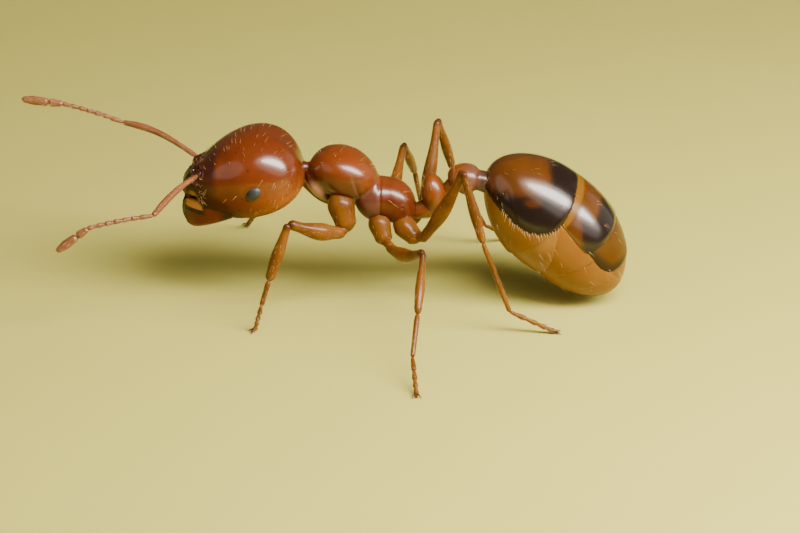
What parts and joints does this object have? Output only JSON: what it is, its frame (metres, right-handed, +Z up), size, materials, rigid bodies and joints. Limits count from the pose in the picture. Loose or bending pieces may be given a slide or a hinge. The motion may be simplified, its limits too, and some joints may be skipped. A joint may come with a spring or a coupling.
{
  "type": "fire ant model",
  "caption": "Life-size still model of a large fire ant worker, standing on six legs with raised feelers and a swollen gaster.",
  "frame": {"origin": "middle of the model's floor plan, on the floor the feet stand on", "axes": "+X runs from the mouth to the rear, +Y to the ant's right side, +Z up"},
  "size_m": [0.008, 0.0058, 0.0025],
  "materials": {
    "shell_red": "smooth glossy chitin, rust red, sparse pits",
    "shell_dark": "glossy dark red-brown chitin, fine striae",
    "shell_plum": "satin purplish brown chitin, fine striae",
    "shell_amber": "glossy translucent amber chitin, fine hairs",
    "feeler_pink": "satin pinkish amber chitin, fine down",
    "gaster_gold": "glossy golden chitin with dark bands",
    "eye_slate": "glossy faceted compound eye, slate"
  },
  "bodies": {
    "root": {"antenna_left_club": "feeler_pink", "antenna_left_scape": "feeler_pink", "antenna_left_shaft": "feeler_pink", "antenna_right_club": "feeler_pink", "antenna_right_scape": "feeler_pink", "antenna_right_shaft": "feeler_pink", "clypeus": "shell_dark", "eye_left": "eye_slate", "eye_right": "eye_slate", "gaster_sternite_1": "gaster_gold", "gaster_sternite_2": "gaster_gold", "gaster_sternite_3": "gaster_gold", "gaster_sternite_4": "gaster_gold", "gaster_tergite_1": "gaster_gold", "gaster_tergite_2": "gaster_gold", "gaster_tergite_3": "gaster_gold", "gaster_tergite_4": "gaster_gold", "head": "shell_red", "leg_fore_left_basitarsus": "shell_amber", "leg_fore_left_coxa": "shell_amber", "leg_fore_left_femur": "shell_amber", "leg_fore_left_tarsus": "shell_amber", "leg_fore_left_tibia": "shell_amber", "leg_fore_right_basitarsus": "shell_amber", "leg_fore_right_coxa": "shell_amber", "leg_fore_right_femur": "shell_amber", "leg_fore_right_tarsus": "shell_amber", "leg_fore_right_tibia": "shell_amber", "leg_hind_left_basitarsus": "shell_amber", "leg_hind_left_coxa": "shell_amber", "leg_hind_left_femur": "shell_amber", "leg_hind_left_tarsus": "shell_amber", "leg_hind_left_tibia": "shell_amber", "leg_hind_right_basitarsus": "shell_amber", "leg_hind_right_coxa": "shell_amber", "leg_hind_right_femur": "shell_amber", "leg_hind_right_tarsus": "shell_amber", "leg_hind_right_tibia": "shell_amber", "leg_mid_left_basitarsus": "shell_amber", "leg_mid_left_coxa": "shell_amber", "leg_mid_left_femur": "shell_amber", "leg_mid_left_tarsus": "shell_amber", "leg_mid_left_tibia": "shell_amber", "leg_mid_right_basitarsus": "shell_amber", "leg_mid_right_coxa": "shell_amber", "leg_mid_right_femur": "shell_amber", "leg_mid_right_tarsus": "shell_amber", "leg_mid_right_tibia": "shell_amber", "mandible_left": "shell_dark", "mandible_right": "shell_dark", "mesonotum": "shell_red", "mesopleuron": "shell_plum", "neck": "shell_dark", "petiole": "shell_red", "postpetiole": "shell_red", "pronotum": "shell_red", "propleuron": "shell_plum", "propodeum": "shell_red"}
  },
  "joints": []
}
